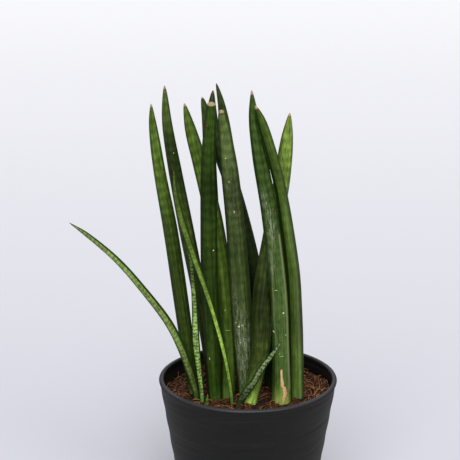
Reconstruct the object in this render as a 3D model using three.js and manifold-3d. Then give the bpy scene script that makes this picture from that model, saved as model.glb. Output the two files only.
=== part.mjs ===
// A potted Sansevieria stuckyi: eleven round adult leaves, four young channelled leaves and one
// shoot stand in coir soil, in a plain tapered plastic pot.
// Millimetres, +Z up. The origin is the centre of the pot's flat base, and -Y is the front.

import * as THREE from "three";
import { mergeVertices } from "three/addons/utils/BufferGeometryUtils.js";
import Module from "manifold-3d";

const wasm = await Module();
wasm.setup();

// Driving dimensions
const gap = 0.35; // clearance between a leaf or the soil and what is next to it

const pot = {
  height: 150,
  rimRadius: 85,
  baseRadius: 60.5,
  footRound: 2.5, // radius of the rounded edge under the wall
  wall: 2.6,
  floor: 3.4,
  lipWidth: 5, // the thick rim, from its outer edge to its inner edge
  lipHeight: 5,
  lipRound: 2.5, // how far its rounded top stands above its straight sides
  ringCount: 6, // faint swellings round the wall
  ringDepth: 0.45,
  drainHoles: 6,
  drainRadius: 4.5,
  drainCircle: 36, // radius of the circle that the drain holes stand on
  segments: 48,
};

const soil = {
  level: 134,
  relief: 1.8, // height of the surface's lumps above and below its level
  rings: 10,
  segments: 44,
  chunks: 24,
  chunkSize: [2.8, 6],
  fibres: 34,
  fibreLength: [12, 26],
  fibreRise: [2, 4.5], // how high a fibre arches out of the surface
  fibreThick: [0.8, 1.2],
  edgeMargin: 8, // how far chips and fibres keep from the pot's wall
  seed: 7,
};

// Each leaf is a row of stations [x, y, z, width] from the soil up to its tip. The nose is the
// length over which the tip rounds off, so a short one is a blunt, dried tip.
const adultLeaves = [
  {
    name: "leaf_left_outer",
    color: "#4b612f",
    nose: 50,
    stations: [
      [-51, -2, 134, 11],
      [-55, -7, 165, 12.5],
      [-63, -9, 230, 14],
      [-72, -10, 298, 13.5],
      [-81.5, -12, 356, 11],
      [-87, -14, 401, 9],
      [-88, -15, 418, 7],
    ],
  },
  {
    name: "leaf_left_inner",
    color: "#2b3a1e",
    nose: 45,
    stations: [
      [-33.5, 8, 134, 10.5],
      [-39, 8, 181, 11.5],
      [-47, 8, 234, 13.5],
      [-57.3, 9, 290, 14],
      [-68, 10, 350, 12.5],
      [-75, 12, 395, 9.5],
      [-77, 14, 429, 7.5],
    ],
  },
  {
    name: "leaf_left_pale",
    color: "#485f26",
    nose: 40,
    stations: [
      [-19, -14, 134, 13],
      [-19, -5, 178, 15.5],
      [-22, -2, 237, 16],
      [-32, 1, 305, 16],
      [-44.5, 4, 357, 13.5],
      [-54, 8, 392, 11],
      [-59, 12, 413, 8],
    ],
  },
  {
    name: "leaf_back_left",
    color: "#223018",
    nose: 10,
    stations: [
      [-24, 24, 134, 11.5],
      [-28, 24, 192, 13],
      [-32, 23, 261, 14],
      [-35, 22, 328, 13],
      [-37, 24, 375, 11],
      [-41, 27, 407, 6],
      [-43, 29, 415.5, 4.5],
    ],
  },
  {
    name: "leaf_front_left",
    color: "#2c4019",
    nose: 6,
    stations: [
      [-31, -19, 134, 12],
      [-33, -20, 184, 15],
      [-36, -23, 250, 15.5],
      [-36.5, -28, 332, 15],
      [-36.5, -32, 379, 12],
      [-34.5, -36, 408, 10],
      [-33.5, -39, 425, 8.5],
    ],
  },
  {
    name: "leaf_back_centre",
    color: "#26331f",
    nose: 25,
    stations: [
      [23, 14, 134, 13],
      [19.6, 19, 175, 15.8],
      [9.6, 21.5, 222, 16],
      [3.5, 23, 259, 15],
      [-8, 27, 305, 15],
      [-17, 31, 336, 14],
      [-25, 34, 357, 12.5],
      [-32, 38, 383, 10.5],
      [-34, 41, 403, 8.5],
      [-33, 43, 419, 6.5],
    ],
  },
  {
    name: "leaf_front_centre",
    color: "#475733",
    nose: 4,
    stations: [
      [-3, -12, 134, 11.5],
      [-4.5, -14, 192, 18.6],
      [-7.5, -16, 240, 19.2],
      [-12.6, -18, 310, 17.4],
      [-17.5, -22, 358, 16],
      [-21.5, -25, 391, 11.5],
      [-24, -26, 406, 8],
      [-25, -27, 416, 5.5],
    ],
  },
  {
    name: "leaf_back_tall",
    color: "#2a3a1e",
    nose: 45,
    stations: [
      [-4, 33, 134, 12],
      [-6, 37, 183, 14.5],
      [-10, 44, 253, 15.5],
      [-14, 49, 311, 15.5],
      [-20, 52, 364, 13],
      [-25, 55, 402, 8.5],
      [-30, 57, 423, 6.5],
    ],
  },
  {
    name: "leaf_right_scarred",
    color: "#4a5c34",
    nose: 40,
    stations: [
      [31.3, -26, 134, 18.5],
      [30.2, -27, 192, 16],
      [28.8, -28, 228, 15.8],
      [26, -29, 261, 16],
      [18, -30, 325, 15],
      [10, -31, 370, 13.5],
      [4, -32, 411, 10],
      [2, -33, 434, 6],
    ],
  },
  {
    name: "leaf_right_outer",
    color: "#40572c",
    nose: 30,
    channel: { depth: 0.12, turn: -75, width: 34 },
    stations: [
      [45.4, -13, 134, 15],
      [44.1, -15, 190, 15.5],
      [42.8, -19, 225, 14.6],
      [40.6, -23, 261, 13.7],
      [32.8, -24.5, 317, 12],
      [27.8, -28, 345, 10.7],
      [21.5, -35.5, 371, 10.4],
      [10.2, -40.5, 409, 9.1],
      [5.2, -42.5, 422, 7.1],
    ],
  },
  {
    name: "leaf_right_pale",
    color: "#657c3f",
    nose: 40,
    stations: [
      [1.5, -30, 134, 13.5],
      [6.8, -30, 160, 14.6],
      [11, -29, 186, 16.4],
      [13.2, -17, 236, 18.4],
      [22, 1, 290, 17],
      [31, 9, 341, 15.5],
      [36, 15, 383, 12],
      [38, 17, 403, 8],
    ],
  },
];

const youngLeaves = [
  {
    name: "young_leaf_climbing",
    color: "#6b873c",
    nose: 30,
    channel: { depth: 0.4, turn: -60, width: 55 },
    stations: [
      [-15, -30, 134, 4],
      [-21, -33, 179, 4.5],
      [-36, -39, 240, 5],
      [-49.5, -42, 282, 6],
      [-61, -44, 320, 6.5],
      [-66, -46, 346, 4.5],
      [-67, -47, 364, 2.5],
    ],
  },
  {
    name: "young_leaf_short",
    color: "#5d7c38",
    nose: 20,
    channel: { depth: 0.45, turn: -80, width: 50 },
    stations: [
      [-43, -27, 134, 4.5],
      [-46, -27, 167, 5.5],
      [-48.5, -29, 193, 7],
      [-50, -31, 237, 5],
      [-52, -32, 267, 4],
      [-54, -33, 286, 3.5],
      [-55, -33, 297, 2.5],
    ],
  },
  {
    name: "young_leaf_arching",
    color: "#576c35",
    nose: 20,
    channel: { depth: 0.4, turn: -45, width: 55 },
    stations: [
      [-48, -18, 134, 6.5],
      [-54.5, -22, 164, 8],
      [-71, -28, 209, 8],
      [-97, -36, 250, 7],
      [-120, -42, 280, 6],
      [-145, -46, 304, 4.5],
      [-161, -50, 317, 2],
    ],
  },
  {
    name: "young_leaf_leaning",
    color: "#5f7a4a",
    nose: 14,
    channel: { depth: 0.45, turn: -70, width: 55 },
    stations: [
      [-9, -36, 134, 6.5],
      [-2, -43, 151, 7.5],
      [5, -45, 162, 7],
      [13, -48, 178, 6],
      [21, -50, 190, 5],
      [28, -53, 202, 3],
      [31, -54, 207, 2.5],
    ],
  },
];

const shoot = {
  name: "shoot",
  color: "#5c8a2f",
  nose: 8,
  stations: [
    [-38.5, -31, 134, 3.6],
    [-38.5, -32, 139, 3],
    [-38, -33, 145, 1.6],
  ],
};

// How finely a leaf is faceted, how far its ridges stand out of its grooves, how flat its section
// is, how deep it stands in the soil, and the share of its length that its hole is cut up to
const adultMesh = {
  sides: 16,
  bodyRings: 10,
  noseRings: 4,
  ridge: 0.05,
  flat: 1,
  foot: 26,
  holeEnd: 0.25,
};
const youngMesh = {
  sides: 12,
  bodyRings: 9,
  noseRings: 3,
  ridge: 0,
  flat: 0.8,
  foot: 26,
  holeEnd: 0.5,
};
const shootMesh = {
  sides: 8,
  bodyRings: 4,
  noseRings: 2,
  ridge: 0,
  flat: 0.8,
  foot: 12,
  holeEnd: 0.8,
};

// Everything that grows out of the soil, each with its mesh values
const growth = [
  ...adultLeaves.map((leaf) => [leaf, adultMesh]),
  ...youngLeaves.map((leaf) => [leaf, youngMesh]),
  [shoot, shootMesh],
];

// A repeatable stream of numbers from 0 to 1
function randomStream(seed) {
  let state = seed;
  return () => {
    state = (state * 1664525 + 1013904223) % 4294967296;
    return state / 4294967296;
  };
}

function between([low, high], random) {
  return low + (high - low) * random();
}

// A random place in the pot, evenly spread, that far from its wall
function soilPlace(margin, random) {
  const reach = wallRadius(soil.level) - pot.wall - margin;
  const distance = reach * Math.sqrt(random());
  const angle = 2 * Math.PI * random();
  return [distance * Math.cos(angle), distance * Math.sin(angle)];
}

// A closed surface from rings of points, with a flat cap below and a point or a flat cap above
function loftRings(rings, apex) {
  const sides = rings[0].length;
  const points = rings.flat();
  const faces = [];
  for (let row = 0; row + 1 < rings.length; row++) {
    for (let i = 0; i < sides; i++) {
      const j = (i + 1) % sides;
      const low = row * sides;
      const high = low + sides;
      faces.push(low + i, low + j, high + j);
      faces.push(low + i, high + j, high + i);
    }
  }
  const top = (rings.length - 1) * sides;
  for (let i = 1; i + 1 < sides; i++) {
    faces.push(0, i + 1, i);
    if (!apex) faces.push(top, top + i, top + i + 1);
  }
  if (apex) {
    points.push(apex);
    for (let i = 0; i < sides; i++) {
      faces.push(top + i, top + ((i + 1) % sides), points.length - 1);
    }
  }
  const geometry = new THREE.BufferGeometry().setFromPoints(points);
  geometry.setIndex(faces);
  return geometry;
}

// The factor that a leaf's ridges and channel put on its radius, at an angle round it
function sectionFactor(angle, mesh, channel) {
  let factor = 1 - mesh.ridge * (0.5 - 0.5 * Math.cos((mesh.sides / 2) * angle));
  if (channel) {
    const centre = THREE.MathUtils.degToRad(channel.turn);
    const away = Math.atan2(Math.sin(angle - centre), Math.cos(angle - centre));
    const spread = THREE.MathUtils.degToRad(channel.width);
    factor -= channel.depth * Math.exp(-((away / spread) ** 2));
  }
  return factor;
}

// The leaf's stations with its foot added, straight below where it enters the soil
function withFoot(stations, depth) {
  const [x, y, z, width] = stations[0];
  return [[x, y, z - depth, width * 0.9], ...stations];
}

// One leaf: rings along a smooth spine, closed by a flat foot and a rounded tip. With grow it is
// that much fatter all round and longer below, and cutAt ends it flat part of the way up.
function leafGeometry(leaf, mesh, grow = 0, cutAt = 1) {
  const stations = withFoot(leaf.stations, mesh.foot + grow);
  const spine = new THREE.CatmullRomCurve3(
    stations.map(([x, y, z]) => new THREE.Vector3(x, y, z)),
  );
  const widths = new THREE.CatmullRomCurve3(
    stations.map(([, , , width], i) => new THREE.Vector3(width, 0, i)),
  );
  const length = spine.getLength();
  const noseShare = leaf.nose / length;
  const shares = [];
  for (let i = 0; i <= mesh.bodyRings; i++) {
    shares.push(((1 - noseShare) * i) / mesh.bodyRings);
  }
  for (let i = 1; i <= mesh.noseRings; i++) {
    const left = 1 - i / (mesh.noseRings + 1);
    shares.push(1 - noseShare * left * left);
  }
  const front = new THREE.Vector3(0, -1, 0);
  const rings = [];
  for (const share of shares.filter((s) => s <= cutAt)) {
    const at = spine.getUtoTmapping(share);
    const centre = spine.getPoint(at);
    const along = spine.getTangent(at);
    const right = new THREE.Vector3().crossVectors(along, front).normalize();
    const behind = new THREE.Vector3().crossVectors(along, right).normalize();
    const toTip = Math.min(1, (1 - share) / noseShare);
    const round = (1 - (1 - toTip) ** 2) ** 0.55;
    const radius = (widths.getPoint(at).x / 2) * round;
    const ring = [];
    for (let i = 0; i < mesh.sides; i++) {
      const angle = (2 * Math.PI * i) / mesh.sides;
      const reach = radius * sectionFactor(angle, mesh, leaf.channel) + grow;
      ring.push(
        centre
          .clone()
          .addScaledVector(right, reach * Math.cos(angle))
          .addScaledVector(behind, reach * mesh.flat * Math.sin(angle)),
      );
    }
    rings.push(ring);
  }
  return loftRings(rings, cutAt < 1 ? null : spine.getPoint(1));
}

// Geometry to a solid that can be joined and cut, and back
function toSolid(geometry) {
  const bare = geometry.clone();
  bare.deleteAttribute("normal");
  bare.deleteAttribute("uv");
  const merged = mergeVertices(bare, 1e-4);
  return new wasm.Manifold(
    new wasm.Mesh({
      numProp: 3,
      vertProperties: new Float32Array(merged.attributes.position.array),
      triVerts: new Uint32Array(merged.index.array),
    }),
  );
}

function toGeometry(solid) {
  const mesh = solid.getMesh();
  const geometry = new THREE.BufferGeometry();
  geometry.setAttribute("position", new THREE.BufferAttribute(mesh.vertProperties, 3));
  geometry.setIndex(new THREE.BufferAttribute(mesh.triVerts, 1));
  return geometry;
}

// Pot

function wallRadius(z) {
  return pot.baseRadius + ((pot.rimRadius - pot.baseRadius) * z) / pot.height;
}

function potGeometry() {
  const lipLow = pot.height - pot.lipHeight;
  const profile = [[0, 0]];
  for (const turn of [0, 45, 90]) {
    const angle = THREE.MathUtils.degToRad(turn);
    profile.push([
      pot.baseRadius - pot.footRound + pot.footRound * Math.sin(angle),
      pot.footRound - pot.footRound * Math.cos(angle),
    ]);
  }
  const ringPitch = lipLow / pot.ringCount;
  for (let i = 1; i < 2 * pot.ringCount; i++) {
    const z = (i * ringPitch) / 2;
    const swell = i % 2 ? 0 : -pot.ringDepth;
    profile.push([wallRadius(z) + swell, z]);
  }
  const lipCentre = pot.rimRadius - pot.lipWidth / 2;
  for (const turn of [0, 45, 90, 135, 180]) {
    const angle = THREE.MathUtils.degToRad(turn);
    profile.push([
      lipCentre + (pot.lipWidth / 2) * Math.cos(angle),
      pot.height - pot.lipRound + pot.lipRound * Math.sin(angle),
    ]);
  }
  const innerTop = pot.height - pot.lipHeight - 1;
  profile.push([wallRadius(innerTop) - pot.wall, innerTop]);
  profile.push([wallRadius(pot.floor) - pot.wall, pot.floor]);
  profile.push([0, pot.floor]);
  const points = profile.map(([r, z]) => new THREE.Vector2(r, z));
  const shell = new THREE.LatheGeometry(points, pot.segments).rotateX(Math.PI / 2);
  let solid = toSolid(shell);
  for (let i = 0; i < pot.drainHoles; i++) {
    const angle = (2 * Math.PI * i) / pot.drainHoles;
    const hole = new THREE.CylinderGeometry(pot.drainRadius, pot.drainRadius, 4 * pot.floor, 10);
    hole.rotateX(Math.PI / 2);
    hole.translate(pot.drainCircle * Math.cos(angle), pot.drainCircle * Math.sin(angle), 0);
    solid = solid.subtract(toSolid(hole));
  }
  return toGeometry(solid);
}

// Soil

function soilHeight(x, y) {
  const lumps =
    0.5 * Math.sin(x * 0.21 + 1.3) * Math.cos(y * 0.17) +
    0.3 * Math.sin(x * 0.43 - y * 0.31) +
    0.2 * Math.cos(x * 0.11 + y * 0.52 + 2);
  return soil.level + soil.relief * lumps;
}

function soilBed() {
  const rings = [];
  const low = pot.floor + gap;
  const lowRadius = wallRadius(low) - pot.wall - gap;
  const topRadius = wallRadius(soil.level) - pot.wall - gap - 0.3;
  const circle = (radius, height) => {
    const ring = [];
    for (let i = 0; i < soil.segments; i++) {
      const angle = (2 * Math.PI * i) / soil.segments;
      const x = radius * Math.cos(angle);
      const y = radius * Math.sin(angle);
      ring.push(new THREE.Vector3(x, y, height ?? soilHeight(x, y)));
    }
    return ring;
  };
  rings.push(circle(lowRadius, low));
  for (let i = soil.rings; i > 0; i--) rings.push(circle((topRadius * i) / soil.rings));
  return toSolid(loftRings(rings, new THREE.Vector3(0, 0, soilHeight(0, 0))));
}

// A lump of coir chip, half sunk in the surface
function chunkSolid(x, y, size, random) {
  const lump = new THREE.IcosahedronGeometry(size, 0);
  lump.scale(1 + 0.6 * random(), 0.7 + 0.4 * random(), 0.55 + 0.3 * random());
  lump.rotateX(0.6 * random() - 0.3);
  lump.rotateZ(2 * Math.PI * random());
  lump.translate(x, y, soilHeight(x, y) + 0.2 * size);
  return toSolid(lump);
}

// A strand of coir that arches out of the surface and back, both ends sunk
function fibreSolid(x, y, reach, rise, turn, thick) {
  const rings = [];
  const steps = 4;
  const heading = new THREE.Vector3(Math.cos(turn), Math.sin(turn), 0);
  const across = new THREE.Vector3(-Math.sin(turn), Math.cos(turn), 0);
  for (let i = 0; i <= steps; i++) {
    const t = i / steps - 0.5;
    const px = x + heading.x * reach * t;
    const py = y + heading.y * reach * t;
    const bend = 0.12 * reach * Math.sin(3 * t);
    const centre = new THREE.Vector3(px, py, soilHeight(px, py) + rise * (1 - 6 * t * t));
    centre.addScaledVector(across, bend);
    const ring = [];
    for (let k = 0; k < 3; k++) {
      const angle = (2 * Math.PI * k) / 3;
      const side = centre.clone().addScaledVector(across, thick * Math.cos(angle));
      ring.push(side.setZ(side.z + thick * Math.sin(angle)));
    }
    rings.push(ring);
  }
  return toSolid(loftRings(rings, null));
}

function soilGeometry() {
  const random = randomStream(soil.seed);
  const parts = [soilBed()];
  for (let i = 0; i < soil.chunks; i++) {
    const [x, y] = soilPlace(soil.edgeMargin, random);
    parts.push(chunkSolid(x, y, between(soil.chunkSize, random), random));
  }
  for (let i = 0; i < soil.fibres; i++) {
    const length = between(soil.fibreLength, random);
    const [x, y] = soilPlace(soil.edgeMargin + length / 2, random);
    const rise = between(soil.fibreRise, random);
    const turn = Math.PI * random();
    parts.push(fibreSolid(x, y, length, rise, turn, between(soil.fibreThick, random)));
  }
  let solid = wasm.Manifold.union(parts);
  for (const [leaf, mesh] of growth) {
    solid = solid.subtract(toSolid(leafGeometry(leaf, mesh, gap, mesh.holeEnd)));
  }
  const bodies = solid.decompose();
  bodies.sort((a, b) => b.volume() - a.volume());
  return toGeometry(bodies[0]);
}

// The whole plant

const plant = new THREE.Group();

function addMesh(name, geometry, color, roughness) {
  const material = new THREE.MeshStandardMaterial({ color, roughness, metalness: 0 });
  const mesh = new THREE.Mesh(geometry, material);
  mesh.name = name;
  plant.add(mesh);
}

addMesh("pot", potGeometry(), "#2b2b2d", 0.6);
addMesh("soil", soilGeometry(), "#3d2414", 0.95);
for (const [leaf, mesh] of growth) {
  addMesh(leaf.name, leafGeometry(leaf, mesh), leaf.color, 0.5);
}

export default plant;
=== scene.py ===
# A potted Sansevieria stuckyi: finer leaves, soil and pot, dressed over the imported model.
# Metres, +Z up, the pot's flat base at the origin and the front towards -Y.

import math
import random

import bpy
import numpy as np
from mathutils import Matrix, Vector, noise


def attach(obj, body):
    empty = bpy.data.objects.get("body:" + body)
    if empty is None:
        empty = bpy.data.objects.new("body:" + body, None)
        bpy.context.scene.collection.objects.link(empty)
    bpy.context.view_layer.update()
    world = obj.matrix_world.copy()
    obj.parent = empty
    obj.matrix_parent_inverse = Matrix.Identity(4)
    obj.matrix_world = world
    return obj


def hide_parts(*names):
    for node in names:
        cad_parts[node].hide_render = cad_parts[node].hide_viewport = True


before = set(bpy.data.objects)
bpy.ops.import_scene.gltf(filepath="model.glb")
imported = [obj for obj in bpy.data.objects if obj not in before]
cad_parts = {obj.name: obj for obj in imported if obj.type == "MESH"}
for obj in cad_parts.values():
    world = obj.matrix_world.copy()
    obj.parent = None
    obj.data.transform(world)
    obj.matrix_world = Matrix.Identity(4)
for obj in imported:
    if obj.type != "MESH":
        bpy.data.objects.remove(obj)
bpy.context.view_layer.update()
print("model loaded:", len(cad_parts), "nodes")

mm = 0.001


def colour(text):  # a screen colour such as "4b612f" as linear light
    values = [int(text[i:i + 2], 16) / 255 for i in (0, 2, 4)]
    linear = [v / 12.92 if v <= 0.04045 else ((v + 0.055) / 1.055) ** 2.4 for v in values]
    return (*linear, 1.0)


# Camera and light

view = {
    "lens": 120,
    "sensor": 36,
    "distance": 1425.5,  # mm from the camera to the point it looks at
    "pitch": 16.25,  # degrees below the horizon
    "aim": (-17.1, 0, 295.5),  # mm
}

suns = {  # turn is degrees to the right of the front, and spread softens the shadows
    "keySun": {"turn": -10, "rise": 45, "spread": 40, "strength": 2.1},
    "fillSun": {"turn": 25, "rise": 45, "spread": 40, "strength": 1.2},
    "backSun": {"turn": 180, "rise": 50, "spread": 20, "strength": 0.7},
}
ambient = {"tint": "f2f3f8", "lighting": 0.25, "seen": 0.9}


def addObject(name, data):
    made = bpy.data.objects.new(name, data)
    bpy.context.scene.collection.objects.link(made)
    return made


def addCamera():
    pitch = math.radians(view["pitch"])
    back = Vector((0, -math.cos(pitch), math.sin(pitch)))
    data = bpy.data.cameras.new("camera")
    data.lens = view["lens"]
    data.sensor_width = view["sensor"]
    camera = addObject("camera", data)
    camera.location = Vector(view["aim"]) * mm + back * view["distance"] * mm
    camera.rotation_euler = (math.pi / 2 - pitch, 0, 0)
    bpy.context.scene.camera = camera


def addSun(name, turn, rise, spread, strength):
    data = bpy.data.lights.new(name, "SUN")
    data.angle = math.radians(spread)
    data.energy = strength
    lamp = addObject(name, data)
    across, up = math.radians(turn), math.radians(rise)
    source = Vector((math.sin(across) * math.cos(up), -math.cos(across) * math.cos(up), math.sin(up)))
    lamp.rotation_euler = (-source).to_track_quat("-Z", "Y").to_euler()


def addWorld():  # dimmer as light than it looks, so that the leaves' sides stay dark
    world = bpy.data.worlds.new("studio")
    world.use_nodes = True
    nodes = Nodes(world.node_tree)
    seen = nodes.add("ShaderNodeLightPath").outputs["Is Camera Ray"]
    strength = nodes.scaled(seen, ambient["seen"] - ambient["lighting"], ambient["lighting"])
    nodes.fill(world.node_tree.nodes["Background"], {"Color": colour(ambient["tint"]), "Strength": strength})
    bpy.context.scene.world = world


# Node helpers: add makes a node, fill and feed set inputs, and the others return new outputs

class Nodes:
    def __init__(self, tree):
        self.tree = tree

    def add(self, kind, inputs=None, **settings):
        node = self.tree.nodes.new(kind)
        for key, value in settings.items():
            setattr(node, key, value)
        self.fill(node, inputs or {})
        return node

    def fill(self, node, inputs):
        for key, value in inputs.items():
            self.feed(node.inputs[key], value)

    def feed(self, socket, value):
        if isinstance(value, bpy.types.NodeSocket):
            self.tree.links.new(value, socket)
        else:
            socket.default_value = value

    def math(self, operation, a, b=0.0, clamp=False):
        node = self.add("ShaderNodeMath", {0: a, 1: b}, operation=operation, use_clamp=clamp)
        return node.outputs[0]

    def plus(self, a, b, clamp=False):
        return self.math("ADD", a, b, clamp)

    def times(self, a, b, clamp=False):
        return self.math("MULTIPLY", a, b, clamp)

    def scaled(self, value, factor, base):
        return self.plus(self.times(value, factor), base)

    def vector(self, operation, a, b):
        return self.add("ShaderNodeVectorMath", {0: a, 1: b}, operation=operation).outputs["Vector"]

    def split(self, where):
        return self.add("ShaderNodeSeparateXYZ", {0: where}).outputs

    def join(self, x, y, z):
        return self.add("ShaderNodeCombineXYZ", {0: x, 1: y, 2: z}).outputs[0]

    def mix(self, factor, a, b, blend="MIX", kind="RGBA"):
        inputs = {"Factor": factor, "A": a, "B": b}
        return self.add("ShaderNodeMix", inputs, data_type=kind, blend_type=blend).outputs["Result"]

    def ramp(self, value, low, high):  # 0 at low, 1 at high, smooth between
        inputs = {"Value": value, "From Min": low, "From Max": high}
        return self.add("ShaderNodeMapRange", inputs, interpolation_type="SMOOTHSTEP").outputs["Result"]

    def noise(self, where, scale, detail=3.0, rough=0.55, warp=0.0):
        inputs = {"Vector": where, "Scale": scale, "Detail": detail, "Roughness": rough, "Distortion": warp}
        return self.add("ShaderNodeTexNoise", inputs).outputs["Fac"]

    def layer(self, where, across, up, scale, *kind):  # a noise stretched across and up the piece
        return self.noise(self.vector("MULTIPLY", where, (across, across, up)), scale, *kind)

    def bump(self, height, strength, distance, **under):
        inputs = {"Strength": strength, "Distance": distance, "Height": height, **under}
        return self.add("ShaderNodeBump", inputs).outputs["Normal"]

    def attribute(self, name, output="Fac"):
        return self.add("ShaderNodeAttribute", attribute_name=name).outputs[output]

    def place(self):
        return self.add("ShaderNodeTexCoord").outputs["Object"]


def newGroup(name, inputs, outputs):  # each input and output is (label, kind)
    group = bpy.data.node_groups.new(name, "ShaderNodeTree")
    for way, sockets in (("INPUT", inputs), ("OUTPUT", outputs)):
        for label, kind in sockets:
            group.interface.new_socket(label, in_out=way, socket_type="NodeSocket" + kind)
    source = group.nodes.new("NodeGroupInput").outputs
    sink = group.nodes.new("NodeGroupOutput")
    return group, Nodes(group), source, sink


def newMaterial(name):
    material = bpy.data.materials.new(name)
    material.use_nodes = True
    return material, Nodes(material.node_tree), material.node_tree.nodes["Principled BSDF"]


# Leaf skin: cross-bands, fine lengthwise streaks, painted shade in the grooves and on the leaf's sides,
# mottling, waxy bloom, and pale lines that are partly painted highlight.
# The leaf's own spot is (cosine round it, sine round it, metres up it).

skinInputs = {  # the group's input: the key of a leaf's skin that sets it, and the key's unit
    "Foot Height": ("footHeight", mm), "Tip Length": ("tipLength", mm), "Band Pitch": ("bandPitch", mm),
    "Bands": ("bands", 1), "Foot Bands": ("footBands", 1), "Band Edge": ("bandEdge", 1),
    "Band Jitter": ("bandJitter", 1), "Band Order": ("bandOrder", 1), "Mottle": ("mottle", 1),
    "Streaks": ("streaks", 1), "Groove Shade": ("grooveShading", 1), "Blotches": ("blotches", 1),
    "Margin": ("margin", 1), "Seed": ("seed", 1),
}
skinLeans = {"light": (1.08, 1.0, 0.82, 1), "dark": (0.82, 1.0, 0.6, 1)}  # away from the base colour

# A noise is (stretch across, stretch up, scale, detail, roughness, warp), here and below.
skinNoises = {
    "cloud": (0.7, 1, 1, 2, 0.5, 0.35),  # up the leaf it is counted in bands
    "drift": (0.55, 45, 1, 2), "ragged": (2.6, 160, 1, 3, 0.6), "broken": (3.2, 420, 1),
    "streak": (5, 9, 1, 4, 0.65), "fineLine": (22, 22, 1, 2, 0.6), "fleck": (9, 700, 1, 2, 0.6),
    "broad": (0.9, 24, 1, 2), "blotch": (2.4, 95, 1, 3, 0.6, 0.4),
    "wax": (6, 130, 1, 5, 0.75), "waxGrain": (14, 900, 1, 3, 0.7),
}
skinEdges = {  # where each mask begins and where it is full; upper is in metres up the leaf
    "upper": (0.04, 0.2), "streak": (0.42, 0.6), "fleck": (0.54, 0.7), "broad": (0.34, 0.66),
    # margin is painted shade on the leaf's sides. It begins and is full by how far round to a side the spot
    # is.
    "blotch": (0.34, 0.66), "margin": (0.6, 1.0), "wax": (0.44, 0.62), "waxGrain": (0.35, 0.65),
    "browned": (2.0, 0.9), "dry": (1.15, 0.85),  # in tip lengths from the tip
}
skinTints = {  # in linear light
    # grooveShade and margin are the near-black colours of painted shade in the grooves and on the leaf's
    # sides.
    "fleck": (0.33, 0.38, 0.2, 1), "grooveShade": (0.003, 0.008, 0.001, 1), "margin": (0.004, 0.01, 0.002, 1),
    # lineAndHighlight is a pale line colour, partly a pale edge line and partly painted highlight.
    "wax": (0.26, 0.3, 0.2, 1), "lineAndHighlight": (0.3, 0.35, 0.15, 1),
    "browned": (0.07, 0.035, 0.012, 1), "dryStreak": (0.16, 0.075, 0.03, 1),
}
skinTones = {  # factor and base by which a layer changes the bands, the skin or its gloss
    "broken": (0.9, 0.45), "broad": (0.28, 0.58), "fineLine": (0.7, 0.72), "rough": (0.18, 0.36),
}
skinAmounts = {  # how strong each is; bumpDepth is in metres
    # grooveShade and margin set how strong the painted shade is in the grooves and on the leaf's sides.
    "fleck": 0.35, "grooveShade": 0.6, "margin": 0.5, "browned": 0.75, "dryStreak": 0.5, "drift": 8,
    "waxBase": 0.35, "tipUneven": 0.8, "waxRough": 0.4, "dryRough": 0.3, "lineRelief": 0.35,
    "bandRelief": 0.25, "dryRelief": 1.5, "bump": 0.4, "bumpDepth": 0.0005,
}


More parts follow.
